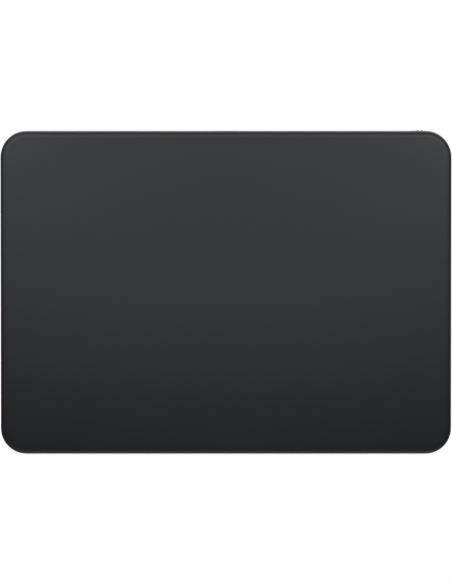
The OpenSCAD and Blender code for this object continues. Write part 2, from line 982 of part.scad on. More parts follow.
module sensor_lead() {
    low = cover_top;
    high = cover_top + lead_t;
    left_x = -gel_x - left_tail_shift;
    plug_y = front_plug_y - connector_w / 2;
    tail_y = post_y + lead_w / 2;
    color("#b5742a") {
        // Front run with its branches
        box(
            [sensor_lead_x - lead_w / 2, run_y - lead_w / 2, low],
            [run_x1, run_y + lead_w / 2, high]
        );
        box([left_x - lead_w / 2, -tail_y, low], [left_x + lead_w / 2, run_y, high]);
        box([run_x1 - lead_w, -tail_y, low], [run_x1, tail_y, high]);
        across_x(sensor_lead_x, lead_w)
            strip([
                [run_y, low],
                [board_y0 - bend_far, low],
                [board_y0 - bend_near, board_top],
                [plug_y, board_top]
            ], lead_t);
        // Stub for the rear left flexure
        across_x(rear_stub_x, stub_w)
            strip([
                [tail_y, low],
                [board_y1 + bend_far, low],
                [board_y1 + bend_near, board_top],
                [board_y1 - stub_lap, board_top]
            ], lead_t);
        difference() {
            union() {
                gauge_tail(left_x, -post_y);
                gauge_tail(run_x1 - lead_w / 2, -post_y);
                gauge_tail(run_x1 - lead_w / 2, post_y);
                gauge_tail(rear_stub_x, post_y);
            }
            above_slope(flexure_bottom);
        }
    }
}

module touch_lead() {
    plug_y = front_plug_y - connector_w / 2;
    socket_y = board_y0 - touch_socket_gap + connector_w / 2;
    end_y = socket_y + touch_lead_slack;
    end_z = mid_h + socket_y * tan(slope) - sensor_bottom - touch_socket_h / 2;
    color("#b5742a")
        across_x(touch_lead_x, touch_lead_w)
            strip([
                [plug_y, board_top],
                [plug_y - touch_lead_flat, board_top],
                [end_y + touch_lead_flat, end_z],
                [end_y, end_z]
            ], lead_t);
}

// Haptic engine

module haptic_bracket() {
    plate_top = cover_top + bracket_t;
    color("#a9acb0")
        difference() {
            union() {
                box(
                    [-bracket_l / 2, bracket_front, cover_top],
                    [bracket_l / 2, bracket_rear, plate_top]
                );
                box([-core_l / 2, back_y, cover_top], [core_l / 2, back_y + back_w, core_z]);
            }
            at_bracket_screws()
                small_hole(bracket_t);
            at_core_screws()
                small_hole(core_t);
        }
}

module haptic_core() {
    color("#6f7276")
        difference() {
            union() {
                box([-core_l / 2, back_y, core_z], [core_l / 2, back_y + back_w, core_z + core_t]);
                for (c = COILS)
                    box(
                        [c[1] * tooth_pitch - tooth_w / 2, pole_y, core_z],
                        [c[1] * tooth_pitch + tooth_w / 2, back_y, core_z + core_t]
                    );
            }
            at_core_screws()
                small_hole(core_t);
        }
}

module haptic_coil(c) {
    color("#b4692c")
        translate([c[1] * tooth_pitch, 0, core_z + core_t / 2])
            across_y((pole_y + back_y) / 2, coil_l)
                difference() {
                    rounded_rect(
                        tooth_w + 2 * (coil_side + coil_gap),
                        core_t + 2 * (coil_t + coil_gap),
                        coil_t
                    );
                    square([tooth_w + 2 * coil_gap, core_t + 2 * coil_gap], center = true);
                }
}

module haptic_screws() {
    color("#8f9296") {
        at_bracket_screws()
            small_screw(bracket_t);
        at_core_screws()
            small_screw(core_t);
    }
}

module haptic_lead() {
    start_x = -tooth_pitch - tooth_w / 2 - coil_side - coil_lead_gap;
    floor_z = cover_top + bracket_t;
    color("#b5742a")
        across_y(haptic_lead_y, lead_w)
            strip([
                [start_x, floor_z],
                [-bracket_l / 2 - bend_near, floor_z],
                [board_x1 + bend_near, board_top],
                [side_plug_x + connector_w / 2, board_top]
            ], lead_t);
}

// Battery

module battery_cell() {
    color("#2f3033")
        translate([cell_x + cell_l / 2, cell_mid_y, cell_z])
            linear_extrude(cell_t)
                rounded_rect(cell_l, cell_w, cell_r);
}

module battery_tape() {
    color("#d9d9d6")
        for (x = [cell_x + tape_l, cell_x + cell_l - tape_l])
            translate([x, cell_mid_y, cover_top])
                linear_extrude(tape_t)
                    square([tape_l, cell_w - 2 * tape_inset], center = true);
}

module battery_circuit() {
    color("#1f4d33")
        box(
            [cell_x - circuit_w, cell_mid_y - circuit_l / 2, board_bottom],
            [cell_x, cell_mid_y + circuit_l / 2, board_top]
        );
}

module battery_lead() {
    color("#b5742a")
        across_y(battery_lead_y, lead_w)
            strip([
                [side_plug_x + connector_w / 2, board_top],
                [cell_x - battery_lead_gap, board_top]
            ], lead_t);
}

// Main board

module main_board() {
    color("#1b4a33")
        difference() {
            translate([(board_x0 + board_x1) / 2, board_y, board_bottom])
                linear_extrude(board_t)
                    rounded_rect(board_w, board_l, board_corner_r);
            at_board_screws()
                small_hole(board_t);
        }
}

// A block that stands on the main board
module on_board(x, y, size, h) {
    translate([x, y, board_top])
        linear_extrude(h)
            square(size, center = true);
}

module processor_chip() {
    color("#151517")
        on_board(shield_x, processor_y, [processor_size, processor_size], chip_h);
}

module power_chip() {
    color("#19191b")
        on_board(
            shield_x + power_chip_shift[0],
            processor_y + power_chip_shift[1],
            [power_chip_size, power_chip_size],
            chip_h
        );
}

module radio_shield() {
    color("#c9ccd0")
        on_board(shield_x, shield_y, shield_size, shield_h);
}

module board_connectors() {
    color("#d8d2c0") {
        on_board(side_plug_x, battery_lead_y, [connector_w, battery_plug_w], connector_h);
        on_board(side_plug_x, haptic_lead_y, [connector_w, haptic_plug_w], connector_h);
        on_board(touch_lead_x, front_plug_y, [touch_plug_w, connector_w], connector_h);
        on_board(sensor_lead_x, front_plug_y, [sensor_plug_w, connector_w], connector_h);
        on_board(port_lead_x, rear_plug_y, [port_plug_w, connector_w], connector_h);
    }
}

module board_screws() {
    color("#8f9296")
        at_board_screws()
            small_screw(board_t);
}

// Antenna

module antenna_carrier() {
    color("#26272a")
        box(
            [carrier_x0, carrier_rear - carrier_d, ledge_top],
            [carrier_x0 + carrier_l, carrier_rear, carrier_top]
        );
}

module antenna_foil() {
    arm = carrier_d / 4;
    color("#c2793b")
        translate([carrier_x0, carrier_rear - carrier_d, carrier_top])
            linear_extrude(foil_t) {
                translate([arm, carrier_d - 2 * arm])
                    square([carrier_l - 2 * arm, arm]);
                for (x = [arm, 3 * arm])
                    translate([x, arm / 2])
                        square([arm, carrier_d - 2 * arm]);
            }
}

module antenna_cable() {
    shield_rear = shield_y + shield_size[1] / 2;
    color("#3a3b3e")
        translate([coax_x, shield_rear, board_top + coax_r])
            rotate([-90, 0, 0])
                cylinder(r = coax_r, h = carrier_rear - carrier_d - shield_rear);
}

// Charging port

module port_board() {
    color("#1b4a33")
        difference() {
            box(
                [-port_board_w / 2, port_board_front, ledge_top],
                [port_board_w / 2, port_board_rear, port_board_top]
            );
            at_port_screws()
                small_hole(board_t);
        }
}

module port_shell() {
    color("#a6a9ad")
        translate([0, port_mouth - port_l / 2, port_z])
            across_y(0, port_l)
                difference() {
                    stadium(port_w + 2 * port_wall, port_h + 2 * port_wall);
                    stadium(port_w, port_h);
                }
}

module port_tongue() {
    back = port_mouth - port_l;
    color("#202124") {
        translate([0, 0, port_z])
            across_y(back + tongue_base / 2, tongue_base)
                stadium(port_w - 2 * tongue_fit, port_h - 2 * tongue_fit);
        box(
            [-tongue_w / 2, back + tongue_base, port_z - tongue_t / 2],
            [tongue_w / 2, port_mouth - tongue_recess, port_z + tongue_t / 2]
        );
    }
}

module port_contacts() {
    row = (contact_count - 1) * contact_pitch;
    tip = port_mouth - tongue_recess - contact_inset;
    color("#d4af5a")
        for (k = [0:contact_count - 1], s = [-1, 1])
            translate([
                k * contact_pitch - row / 2 - contact_size[0] / 2,
                tip - contact_size[1],
                port_z + s * (tongue_t + contact_size[2]) / 2 - contact_size[2] / 2
            ])
                cube(contact_size);
}

module port_screws() {
    color("#8f9296")
        at_port_screws()
            small_screw(board_t);
}

module port_lead() {
    low = cover_top;
    start_x = -port_board_w / 2;
    plug_y = rear_plug_y + connector_w / 2;
    color("#b5742a") {
        across_y(rear_lead_y, lead_w)
            strip([
                [start_x + lead_lap, port_board_top],
                [start_x - bend_near, port_board_top],
                [start_x - bend_far, low],
                [port_lead_x - lead_w / 2, low]
            ], lead_t);
        across_x(port_lead_x, lead_w)
            strip([
                [plug_y, board_top],
                [board_y1 + bend_near, board_top],
                [board_y1 + bend_far, low],
                [rear_lead_y, low]
            ], lead_t);
    }
}

// Power switch

module switch_board() {
    color("#1b4a33")
        difference() {
            box(
                [slot_x - switch_board_l / 2, switch_board_front, switch_board_bottom],
                [slot_x + switch_board_l / 2, switch_board_rear, switch_board_top]
            );
            at_switch_screws()
                small_hole(board_t);
        }
}

module switch_housing() {
    cavity_h = housing_h - 2 * housing_wall;
    color("#b4b7bb")
        translate([slot_x, 0, switch_z])
            difference() {
                across_y((housing_front + housing_back) / 2, housing_d)
                    square([housing_l, housing_h], center = true);
                across_y((housing_front + housing_back) / 2, housing_d - 2 * housing_wall)
                    square([cavity_l, cavity_h], center = true);
                across_y(housing_front, 4 * housing_wall)
                    square([tab_w + knob_travel + 2 * slider_gap, tab_w + 2 * slider_gap], center = true);
            }
}

module switch_slider() {
    cavity_h = housing_h - 2 * housing_wall;
    slider_front = housing_front - housing_wall - slider_gap;
    slider_back = housing_back + housing_wall + slider_gap;
    color("#e4e2dc")
        translate([knob_x, 0, switch_z]) {
            across_y((slider_front + slider_back) / 2, slider_front - slider_back)
                square([slider_l, cavity_h - 2 * slider_gap], center = true);
            across_y((slider_front + flange_back) / 2, flange_back - slider_front)
                square(tab_w, center = true);
        }
}

module switch_screws() {
    color("#8f9296")
        at_switch_screws()
            small_screw(board_t);
}

module switch_lead() {
    low = cover_top;
    start_x = port_board_w / 2;
    color("#b5742a") {
        across_y(rear_lead_y, lead_w)
            strip([
                [start_x - lead_lap, port_board_top],
                [start_x + bend_near, port_board_top],
                [start_x + bend_far, low],
                [switch_lead_x + lead_w / 2, low]
            ], lead_t);
        across_x(switch_lead_x, lead_w)
            strip([
                [rear_lead_y - lead_w / 2, low],
                [switch_board_front - bend_far, low],
                [switch_board_front - bend_near, switch_board_top],
                [switch_board_front + switch_lead_lap, switch_board_top]
            ], lead_t);
    }
}

module power_knob() {
    face = case_d / 2 - knob_recess;
    color("#222326")
        translate([knob_x, 0, switch_z]) {
            across_y((face + flange_front) / 2, face - flange_front)
                stadium(knob_l, knob_h);
            across_y((flange_front + flange_back) / 2, flange_t)
                square([flange_l, flange_h], center = true);
            for (k = [-1, 1])
                translate([k * ridge_pitch / 2, 0, 0])
                    across_y(face + (knob_recess + ridge_out) / 2, knob_recess + ridge_out)
                        square([ridge_w, ridge_l], center = true);
        }
}

module indicator_film() {
    color("#3fae4a")
        translate([knob_x - knob_l / 2 - knob_gap - knob_travel / 2, 0, switch_z])
            across_y(flange_front + film_t / 2, film_t)
                square([knob_travel, knob_h], center = true);
}

// Assembly

enclosure();
bottom_cover();
cover_seal();
cover_screws();
for (c = CORNERS) foot(c);
dust_gasket();
touch_glass();
glass_adhesive();
sensor_board();
stiffener_plate();
armature_bar();
touch_chips();
sensor_connector();
gel_pads();
for (c = CORNERS) flexure(c);
strain_gauges();
flexure_screws();
sensor_lead();
touch_lead();
haptic_bracket();
haptic_core();
for (c = COILS) haptic_coil(c);
haptic_screws();
haptic_lead();
battery_cell();
battery_tape();
battery_circuit();
battery_lead();
main_board();
processor_chip();
power_chip();
radio_shield();
board_connectors();
board_screws();
antenna_carrier();
antenna_foil();
antenna_cable();
port_board();
port_shell();
port_tongue();
port_contacts();
port_screws();
port_lead();
switch_board();
switch_housing();
switch_slider();
switch_screws();
switch_lead();
power_knob();
indicator_film();
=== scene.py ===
"""Looks for a wireless glass touch pad: finished surfaces on its solids, in a plain pale studio."""
import json
import math

import bmesh
import bpy
from mathutils import Matrix, Vector


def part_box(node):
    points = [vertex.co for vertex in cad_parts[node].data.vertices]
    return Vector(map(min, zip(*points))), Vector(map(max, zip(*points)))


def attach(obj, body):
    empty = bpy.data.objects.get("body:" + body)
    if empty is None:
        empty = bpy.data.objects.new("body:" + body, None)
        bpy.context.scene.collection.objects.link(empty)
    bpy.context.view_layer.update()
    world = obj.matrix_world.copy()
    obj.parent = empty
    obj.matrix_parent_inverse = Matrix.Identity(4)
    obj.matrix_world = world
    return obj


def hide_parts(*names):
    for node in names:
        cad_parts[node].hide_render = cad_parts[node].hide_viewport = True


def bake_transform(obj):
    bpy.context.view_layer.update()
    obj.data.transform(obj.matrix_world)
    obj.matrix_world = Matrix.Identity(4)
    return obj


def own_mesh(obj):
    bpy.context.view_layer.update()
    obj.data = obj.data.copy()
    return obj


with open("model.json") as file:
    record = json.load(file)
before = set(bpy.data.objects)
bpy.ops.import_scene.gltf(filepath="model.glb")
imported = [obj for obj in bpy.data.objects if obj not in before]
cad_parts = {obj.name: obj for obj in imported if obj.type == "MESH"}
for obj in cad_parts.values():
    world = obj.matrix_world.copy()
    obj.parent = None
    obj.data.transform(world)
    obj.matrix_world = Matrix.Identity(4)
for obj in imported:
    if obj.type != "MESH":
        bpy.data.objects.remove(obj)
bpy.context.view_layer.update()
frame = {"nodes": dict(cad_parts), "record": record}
nodes = frame["nodes"]
record = frame["record"]

# Sizes that the new pieces share with the solids, in metres
CASE_W = 0.160
CASE_D = 0.1149
FRONT_H = 0.0049
REAR_H = 0.0109
CORNER_R = 0.0091
GLASS_T = 0.001
GLASS_INSET = 0.0001
GASKET_T = 0.0003
GASKET_W = 0.001
GASKET_INSET = 0.0004
STIFFENER_BOTTOM = 0.0019
GEL_BOTTOM = 0.0023
GEL_R = 0.004
GEL_X = 0.0565
POST_X = 0.0685
POST_Y = 0.036
TOOTH_W = 0.008
CORE_T = 0.0016
COIL_GAP = 0.00005
SLOPE = math.atan((REAR_H - FRONT_H) / CASE_D)
SLOPE_D = CASE_D / math.cos(SLOPE)
MID_H = (FRONT_H + REAR_H) / 2

# The touch surface's plane: its middle at the origin, its own Z square to the glass
ON_SLOPE = Matrix.Translation((0, 0, MID_H)) @ Matrix.Rotation(SLOPE, 4, "X")

# Fineness of the meshes, and the angle from which an edge counts as sharp
CORNER_STEPS = 40
QUARTER_TURN = math.pi / 2
FULL_TURN = 2 * math.pi
SHARP_ANGLE = math.radians(35)


# Mesh helpers

def rounded_loop(w, d, r, z, steps=CORNER_STEPS):
    """Points round a rectangle with round corners, anticlockwise from the front right corner."""
    points = []
    for k, (sx, sy) in enumerate(((1, -1), (1, 1), (-1, 1), (-1, -1))):
        cx = sx * (w / 2 - r)
        cy = sy * (d / 2 - r)
        for i in range(steps + 1):
            a = QUARTER_TURN * (k - 1 + i / steps)
            points.append(Vector((cx + r * math.cos(a), cy + r * math.sin(a), z)))
    return points


def add_loop(bm, points, place):
    return [bm.verts.new(place @ p) for p in points]


def bridge(bm, low, high, smooth=True):
    """A band of faces between two loops."""
    count = len(low)
    for i in range(count):
        j = (i + 1) % count
        face = bm.faces.new((low[i], low[j], high[j], high[i]))
        face.smooth = smooth


def cap_ends(bm, loops):
    bm.faces.new(loops[-1])
    bm.faces.new(list(reversed(loops[0])))


def sweep(bm, profile, edge_inset, closed):
    """Carries a profile of insets and heights round the pad's outline, on the slope."""
    w = CASE_W - 2 * edge_inset
    d = SLOPE_D - 2 * edge_inset
    r = CORNER_R - edge_inset
    loops = []
    for inset, z in profile:
        points = rounded_loop(w - 2 * inset, d - 2 * inset, r - inset, z)
        loops.append(add_loop(bm, points, ON_SLOPE))
    following = loops[1:] + loops[:1] if closed else loops[1:]
    for low, high in zip(loops, following):
        bridge(bm, low, high)
    return loops


def make_object(name, bm):
    bmesh.ops.recalc_face_normals(bm, faces=bm.faces)
    mesh = bpy.data.meshes.new(name)
    bm.to_mesh(mesh)
    bm.free()
    obj = bpy.data.objects.new(name, mesh)
    bpy.context.scene.collection.objects.link(obj)
    return obj


# Material helpers. Texture sizes are in metres, because every piece sits at the origin.
EVEN = (1, 1, 1)
IOR = 1.5
GRAIN_DETAIL = 2.0
MOTTLE_DETAIL = 3.0

# The part of a noise's range that colour and gloss run over
NOISE_LOW = 0.3
NOISE_HIGH = 0.7

# Pitch of the wave texture's bands at scale 1
WAVE_PITCH = math.pi / 10
WAVE_DISTORTION = 0.4

# Width and softness of the lines between printed tracks, as shares of a track's size
TRACK_GAP = 0.06
TRACK_SOFT = 0.2


def start_material(name, metallic):
    material = bpy.data.materials.new(name)
    material.use_nodes = True
    tree = material.node_tree
    shader = tree.nodes["Principled BSDF"]
    shader.inputs["Metallic"].default_value = metallic
    shader.inputs["IOR"].default_value = IOR
    return material, tree, shader


def place_texture(tree, stretch=EVEN):
    coords = tree.nodes.new("ShaderNodeTexCoord")
    mapping = tree.nodes.new("ShaderNodeMapping")
    mapping.inputs["Scale"].default_value = stretch
    tree.links.new(coords.outputs["Object"], mapping.inputs["Vector"])
    return mapping.outputs["Vector"]


def noise(tree, size, detail=GRAIN_DETAIL, stretch=EVEN):
    """A soft noise whose blotches are about that size."""
    texture = tree.nodes.new("ShaderNodeTexNoise")
    texture.inputs["Scale"].default_value = 1 / size
    texture.inputs["Detail"].default_value = detail
    tree.links.new(place_texture(tree, stretch), texture.inputs["Vector"])
    return texture.outputs["Fac"]


def bands(tree, pitch, direction):
    """Parallel bands with that pitch."""
    texture = tree.nodes.new("ShaderNodeTexWave")
    texture.wave_type = "BANDS"
    texture.bands_direction = direction
    texture.inputs["Scale"].default_value = WAVE_PITCH / pitch
    texture.inputs["Distortion"].default_value = WAVE_DISTORTION
    tree.links.new(place_texture(tree), texture.inputs["Vector"])
    return texture.outputs["Fac"]


def tracks(tree, size):
    """Straight runs and pads, as printed copper shows under a board's mask."""
    texture = tree.nodes.new("ShaderNodeTexBrick")
    texture.inputs["Scale"].default_value = 1 / size
    texture.inputs["Mortar Size"].default_value = TRACK_GAP
    texture.inputs["Mortar Smooth"].default_value = TRACK_SOFT
    tree.links.new(place_texture(tree), texture.inputs["Vector"])
    return texture.outputs["Fac"]


def colour_by(tree, shader, fac, dark, light, low=NOISE_LOW, high=NOISE_HIGH):
    ramp = tree.nodes.new("ShaderNodeValToRGB")
    ramp.color_ramp.elements[0].position = low
    ramp.color_ramp.elements[0].color = (*dark, 1)
    ramp.color_ramp.elements[1].position = high
    ramp.color_ramp.elements[1].color = (*light, 1)
    tree.links.new(fac, ramp.inputs["Fac"])
    tree.links.new(ramp.outputs["Color"], shader.inputs["Base Color"])


def roughness_by(tree, shader, fac, smooth, rough):
    span = tree.nodes.new("ShaderNodeMapRange")
    span.inputs["From Min"].default_value = NOISE_LOW
    span.inputs["From Max"].default_value = NOISE_HIGH
    span.inputs["To Min"].default_value = smooth
    span.inputs["To Max"].default_value = rough
    tree.links.new(fac, span.inputs["Value"])
    tree.links.new(span.outputs["Result"], shader.inputs["Roughness"])


def mixed(tree, first, second, share):
    """The first value, with that share of the second in it."""
    kept = tree.nodes.new("ShaderNodeMath")
    kept.operation = "MULTIPLY"
    kept.inputs[1].default_value = 1 - share
    tree.links.new(first, kept.inputs[0])
    added = tree.nodes.new("ShaderNodeMath")
    added.operation = "MULTIPLY_ADD"
    added.inputs[1].default_value = share
    tree.links.new(second, added.inputs[0])
    tree.links.new(kept.outputs["Value"], added.inputs[2])
    return added.outputs["Value"]


def beyond_y(tree, y, width):
    """0 in front of that Y, and 1 behind it."""
    coords = tree.nodes.new("ShaderNodeTexCoord")
    split = tree.nodes.new("ShaderNodeSeparateXYZ")
    span = tree.nodes.new("ShaderNodeMapRange")
    span.inputs["From Min"].default_value = y
    span.inputs["From Max"].default_value = y + width
    tree.links.new(coords.outputs["Object"], split.inputs["Vector"])
    tree.links.new(split.outputs["Y"], span.inputs["Value"])
    return span.outputs["Result"]


def bump_by(tree, shader, fac, height, strength=1.0):
    bump = tree.nodes.new("ShaderNodeBump")
    bump.inputs["Strength"].default_value = strength
    bump.inputs["Distance"].default_value = height
    tree.links.new(fac, bump.inputs["Height"])
    tree.links.new(bump.outputs["Normal"], shader.inputs["Normal"])


def grained(
    name,
    dark,
    light,
    rough,
    metallic=0.0,
    grain=0.0004,
    height=0.00001,
    mottle=0.006,
    stretch=EVEN,
    speckle=0.5,
):
    """A surface with a fine grain, and slow drifts of colour and gloss over it."""
    material, tree, shader = start_material(name, metallic)
    slow = noise(tree, mottle, MOTTLE_DETAIL, stretch)
    fine = noise(tree, grain, GRAIN_DETAIL, stretch)
    speckled = mixed(tree, slow, fine, speckle)
    colour_by(tree, shader, speckled, dark, light)
    roughness_by(tree, shader, speckled, rough[0], rough[1])
    bump_by(tree, shader, fine, height)
    return material


def patterned(name, fac_maker, dark, light, rough, metallic=0.0, height=0.00001):
    """A surface whose colour, gloss and relief follow one pattern."""
    material, tree, shader = start_material(name, metallic)
    fac = fac_maker(tree)
    colour_by(tree, shader, fac, dark, light)
    roughness_by(tree, shader, fac, rough[0], rough[1])
    bump_by(tree, shader, fac, height)
    return material


def etched_glass():
    """Satin touch glass over a dark print: a faint blue coating, and a faint drift in its etch."""
    coating_level = 0.534
    coating_tint = (0.912, 0.936, 1.0, 1)
    drift_size = 0.03
    etch_size = 0.00018
    etch_height = 0.000001
    etch_strength = 0.5
    material, tree, shader = start_material("etched_glass", 0.0)
    shader.inputs["Specular IOR Level"].default_value = coating_level
    shader.inputs["Specular Tint"].default_value = coating_tint
    drift = noise(tree, drift_size)
    etch = noise(tree, etch_size)
    colour_by(tree, shader, drift, (0.0064, 0.0066, 0.0070), (0.0068, 0.0070, 0.0075))
    roughness_by(tree, shader, drift, 0.418, 0.434)
    bump_by(tree, shader, etch, etch_height, etch_strength)
    return material


def switch_knob():
    """Anodised knob: a smooth face, with painted shade on the ridges that stand out of the rear wall: they
    are coloured far darker than the face.
    """
    face_colour = (0.040, 0.040, 0.042)
    # Painted shade: the ridges' colour, much darker than the face's, though both are the same anodised
    # metal
    ridge_shade_colour = (0.005, 0.005, 0.005)
    change_w = 0.00006
    gloss_size = 0.002
    grain_size = 0.0001
    grain_height = 0.000006
    material, tree, shader = start_material("knob_anodising", 1.0)
    # Painted shade on the ridges: everything behind the rear wall takes the dark colour
    ridge_shade_mask = beyond_y(tree, CASE_D / 2, change_w)
    colour_by(tree, shader, ridge_shade_mask, face_colour, ridge_shade_colour, 0, 1)
    roughness_by(tree, shader, noise(tree, gloss_size), 0.30, 0.36)
    bump_by(tree, shader, noise(tree, grain_size), grain_height)
    return material


# Finishes by material slot: darkest and lightest colour, range of roughness, then other settings
finishes = {
    "case_metal": grained(
        "case_anodising", (0.028, 0.028, 0.030), (0.038, 0.038, 0.040), (0.38, 0.46),
        metallic=1.0, grain=0.00012, height=0.000012, speckle=0.8,
    ),
    "cover_metal": grained(
        "cover_anodising", (0.040, 0.040, 0.042), (0.054, 0.054, 0.056), (0.44, 0.54),
        metallic=1.0, grain=0.00016, height=0.000016, speckle=0.85,
    ),
    "foot_rubber": grained(
        "foot_rubber", (0.010, 0.010, 0.010), (0.014, 0.014, 0.014), (0.70, 0.80),
        grain=0.0003, height=0.00002,
    ),
    "seal_foam": grained(
        "seal_foam", (0.006, 0.006, 0.007), (0.009, 0.009, 0.010), (0.85, 0.95),
        grain=0.0001, height=0.00002,
    ),
    "dark_glass": etched_glass(),
    "bond_film": grained("bond_film", (0.14, 0.15, 0.15), (0.18, 0.19, 0.19), (0.40, 0.50)),
    "circuit_board": patterned(
        "solder_mask", lambda tree: tracks(tree, 0.002),
        (0.010, 0.060, 0.032), (0.018, 0.085, 0.046), (0.35, 0.45),
    ),
    "chip_plastic": grained(
        "chip_epoxy", (0.007, 0.007, 0.008), (0.010, 0.010, 0.011), (0.50, 0.60), grain=0.0002,
    ),
    "connector_plastic": grained("plug_nylon", (0.52, 0.48, 0.38), (0.60, 0.56, 0.46), (0.45, 0.55)),
    "spring_steel": grained(
        "rolled_steel", (0.50, 0.51, 0.53), (0.60, 0.61, 0.63), (0.28, 0.38),
        metallic=1.0, height=0.000003, mottle=0.004, stretch=(0.05, 1, 1),
    ),
    "core_steel": patterned(
        "stacked_steel", lambda tree: bands(tree, 0.00035, "Z"),
        (0.16, 0.16, 0.17), (0.22, 0.22, 0.23), (0.40, 0.50), metallic=1.0,
    ),
    "screw_steel": grained(
        "plated_steel", (0.38, 0.38, 0.39), (0.46, 0.46, 0.47), (0.30, 0.38), metallic=1.0, grain=0.0002,
    ),
    "clear_gel": grained(
        "silicone_gel", (0.30, 0.34, 0.38), (0.36, 0.40, 0.44), (0.25, 0.35), grain=0.0006,
    ),
    "gauge_film": patterned(
        "gauge_film", lambda tree: bands(tree, 0.0003, "Y"),
        (0.42, 0.20, 0.04), (0.58, 0.32, 0.08), (0.30, 0.40),
    ),
    "flat_lead": patterned(
        "flat_lead", lambda tree: bands(tree, 0.0005, "DIAGONAL"),
        (0.36, 0.15, 0.03), (0.50, 0.24, 0.06), (0.30, 0.40),
    ),
    "copper_winding": grained(
        "enamelled_wire", (0.42, 0.14, 0.03), (0.54, 0.20, 0.06), (0.24, 0.32),
        metallic=1.0, grain=0.0003, height=0.000002, mottle=0.002, speckle=0.1,
    ),
    "cell_pouch": grained(
        "cell_wrap", (0.020, 0.021, 0.023), (0.032, 0.033, 0.035), (0.35, 0.50),
        grain=0.003, height=0.00005,
    ),
    "shield_tin": grained(
        "tinned_steel", (0.60, 0.61, 0.62), (0.70, 0.71, 0.72), (0.25, 0.38),
        metallic=1.0, height=0.000003, mottle=0.004, stretch=(1, 0.06, 1),
    ),
    "antenna_plastic": grained(
        "antenna_plastic", (0.016, 0.017, 0.018), (0.022, 0.023, 0.024), (0.50, 0.60),
    ),
    "antenna_copper": grained(
        "antenna_copper", (0.46, 0.16, 0.05), (0.58, 0.24, 0.09), (0.28, 0.40), metallic=1.0,
    ),
    "coax_jacket": grained("coax_jacket", (0.028, 0.028, 0.029), (0.036, 0.036, 0.037), (0.45, 0.55)),
    "port_steel": grained(
        "port_steel", (0.30, 0.30, 0.31), (0.38, 0.38, 0.39), (0.28, 0.36),
        metallic=1.0, grain=0.0002, height=0.000003, mottle=0.002, stretch=(1, 0.1, 1),
    ),
    "port_plastic": grained(
        "port_plastic", (0.010, 0.010, 0.011), (0.013, 0.013, 0.014), (0.45, 0.55), grain=0.0002,
    ),
    "contact_gold": grained(
        "contact_gold", (0.62, 0.42, 0.12), (0.74, 0.52, 0.18), (0.20, 0.28),
        metallic=1.0, grain=0.0002, height=0.000002,
    ),
    "slider_plastic": grained("slider_acetal", (0.70, 0.69, 0.66), (0.78, 0.77, 0.74), (0.40, 0.50)),
    "knob_black": switch_knob(),
    "signal_green": grained("signal_green", (0.030, 0.36, 0.050), (0.045, 0.44, 0.070), (0.35, 0.45)),
}


def give_finish(obj, slot):
    obj.data.materials.clear()
    obj.data.materials.append(finishes[slot])


for part in record["subparts"]:
    give_finish(nodes[part["node"]], part["material_slot"])


# The touch glass: a thin plate with a softly rolled upper edge

def touch_surface():
    roll_w = 0.00224
    roll_h = 0.00062
    roll_steps = 24
    foot_bevel = 0.00005
    profile = [(foot_bevel, -GLASS_T), (0, foot_bevel - GLASS_T), (0, -roll_h)]
    for i in range(1, roll_steps + 1):
        a = QUARTER_TURN * i / roll_steps
        profile.append((roll_w * (1 - math.cos(a)), -roll_h * (1 - math.sin(a))))
    bm = bmesh.new()
    loops = sweep(bm, profile, GLASS_INSET, closed=False)
    cap_ends(bm, loops)
    obj = make_object("touch_surface", bm)
    give_finish(obj, "dark_glass")
    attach(obj, "touch_plate")
    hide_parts("touch_glass")


# The dust gasket: a soft ring under the glass

def dust_ring():
    bulge = 0.00012
    steps = 6
    clear = 0.00001
    bottom = -GLASS_T - GASKET_T + clear
    top = -GLASS_T - clear
    profile = []
    for side in (0, 1):
        for i in range(steps + 1):
            share = i / steps if side == 0 else 1 - i / steps
            swell = bulge * math.sin(math.pi * share)
            inset = bulge - swell if side == 0 else GASKET_W - bulge + swell
            profile.append((inset, bottom + (top - bottom) * share))
    bm = bmesh.new()
    sweep(bm, profile, GASKET_INSET, closed=True)
    obj = make_object("dust_ring", bm)
    give_finish(obj, "seal_foam")
    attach(obj, "case")
    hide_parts("dust_gasket")
    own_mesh(obj)


# The force sensors: each spring, and its film, cut across in short steps between its screwed end and its
# gel pad

def bent_copy(name, source, side, slot, only_side=False):
    """A copy of a flat solid, cut across in short steps between its post and its gel pad."""
    cuts = 12
    cut_tolerance = 1e-7
    bm = bmesh.new()
    bm.from_mesh(nodes[source].data)
    if only_side:
        away = [f for f in bm.faces if f.calc_center_median().x * side < 0]
        bmesh.ops.delete(bm, geom=away, context="FACES")
    far = GEL_X + GEL_R
    near = POST_X
    for i in range(cuts + 1):
        at = (side * (far + (near - far) * i / cuts), 0, 0)
        everything = bm.verts[:] + bm.edges[:] + bm.faces[:]
        bmesh.ops.bisect_plane(bm, geom=everything, plane_co=at, plane_no=(1, 0, 0), dist=cut_tolerance)
    obj = make_object(name, bm)
    obj.data.shade_smooth()
    obj.data.set_sharp_from_angle(angle=SHARP_ANGLE)
    give_finish(obj, slot)
    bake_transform(obj)
    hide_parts(source)


def gel_cushions():
    """Four soft pads with bulging sides."""
    bulge = 0.00008
    clear = 0.000005
    steps = 8
    turns = 72
    bottom = -GEL_BOTTOM + clear
    top = -STIFFENER_BOTTOM - clear
    angles = [FULL_TURN * k / turns for k in range(turns)]
    bm = bmesh.new()
    for sx in (-1, 1):
        for sy in (-1, 1):
            rings = []
            for i in range(steps + 1):
                share = i / steps
                r = GEL_R - bulge + bulge * math.sin(math.pi * share)
                z = bottom + (top - bottom) * share
                points = [
                    Vector((sx * GEL_X + r * math.cos(a), sy * POST_Y + r * math.sin(a), z)) for a in angles
                ]
                rings.append(add_loop(bm, points, ON_SLOPE))
            for low, high in zip(rings, rings[1:]):
                bridge(bm, low, high)
            cap_ends(bm, rings)
    obj = make_object("gel_cushions", bm)
    give_finish(obj, "clear_gel")
    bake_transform(obj)
    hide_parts("gel_pads")


# The haptic coils: turns of wire round the teeth of the core

